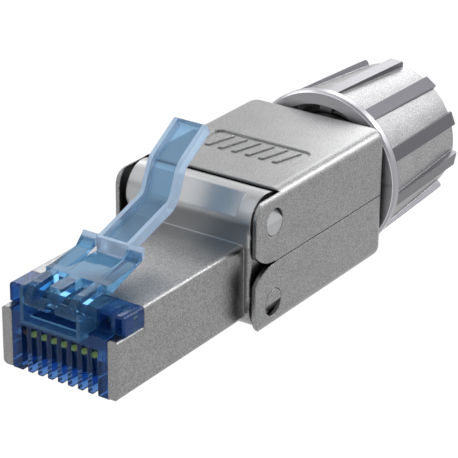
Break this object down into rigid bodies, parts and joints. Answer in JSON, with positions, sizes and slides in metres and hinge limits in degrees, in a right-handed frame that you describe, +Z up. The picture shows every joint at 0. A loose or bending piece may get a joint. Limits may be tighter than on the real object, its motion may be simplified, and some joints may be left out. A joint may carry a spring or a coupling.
{
  "type": "field termination ethernet plug",
  "caption": "Shielded ethernet plug fitted without tools: nose with spring latch, hinged die-cast covers over the wire terminals, and a ribbed cap nut that clamps the cable.",
  "frame": {"origin": "under the middle of the closed plug's length, at the height of the cap nut's lowest point", "axes": "+Y runs from the nose to the cap nut along the cable's axis, +Z up on the latch side, +X right"},
  "size_m": [0.0158, 0.0538, 0.0197],
  "materials": {
    "die_cast": "satin nickel on bead-blasted zinc die casting",
    "nut_metal": "satin nickel, blasted between smooth ribs",
    "dark_blue_plastic": "dark blue translucent moulding",
    "pale_blue_plastic": "pale blue translucent moulding",
    "gold": "gold plated",
    "tin": "tin plated",
    "board": "green solder mask",
    "black_plastic": "black moulding",
    "grey_plastic": "light grey moulding",
    "separator": "plain foil"
  },
  "bodies": {
    "shell": {"plug_shell": "die_cast", "contact_carrier": "dark_blue_plastic", "contact_1": "gold", "contact_2": "gold", "contact_3": "gold", "contact_4": "gold", "contact_5": "gold", "contact_6": "gold", "contact_7": "gold", "contact_8": "gold", "latch_frame": "pale_blue_plastic", "idc_contact_1": "tin", "idc_contact_2": "tin", "idc_contact_3": "tin", "idc_contact_4": "tin", "idc_contact_5": "tin", "idc_contact_6": "tin", "idc_contact_7": "tin", "idc_contact_8": "tin", "circuit_board": "board", "idc_block_upper": "black_plastic", "idc_block_lower": "black_plastic", "wire_cap_upper": "grey_plastic", "wire_cap_lower": "grey_plastic", "wire_separator": "separator", "gland_neck": "die_cast"},
    "latch": {"latch_lever": "pale_blue_plastic"},
    "top": {"upper_cover": "die_cast"},
    "bottom": {"lower_cover": "die_cast"},
    "ring": {"clamp_ring": "grey_plastic"},
    "nut": {"cap_nut": "nut_metal"}
  },
  "joints": [
    {"name": "latch_press", "type": "hinge", "parent": "shell", "child": "latch", "pos_m": [0, -0.02635, 0.0098], "axis": [-1, 0, 0], "range_deg": [0, 9], "stiffness_Nm_per_rad": 0.38},
    {"name": "upper_cover_swing", "type": "hinge", "parent": "shell", "child": "top", "pos_m": [0, -0.00575, 0.01163], "axis": [1, 0, 0], "range_deg": [0, 50]},
    {"name": "lower_cover_swing", "type": "hinge", "parent": "shell", "child": "bottom", "pos_m": [0, -0.00575, 0.00417], "axis": [-1, 0, 0], "range_deg": [0, 50]},
    {"name": "ring_slide", "type": "slide", "parent": "shell", "child": "ring", "axis": [0, 1, 0], "range_m": [0, 0.003]},
    {"name": "nut_turn", "type": "hinge", "parent": "ring", "child": "nut", "pos_m": [0, 0.0192, 0.0079], "axis": [0, 1, 0], "range_deg": [0, 720]}
  ],
  "couplings": [
    {"joint": "ring_slide", "follows": "nut_turn", "m_per_rad": 0.0002387}
  ]
}
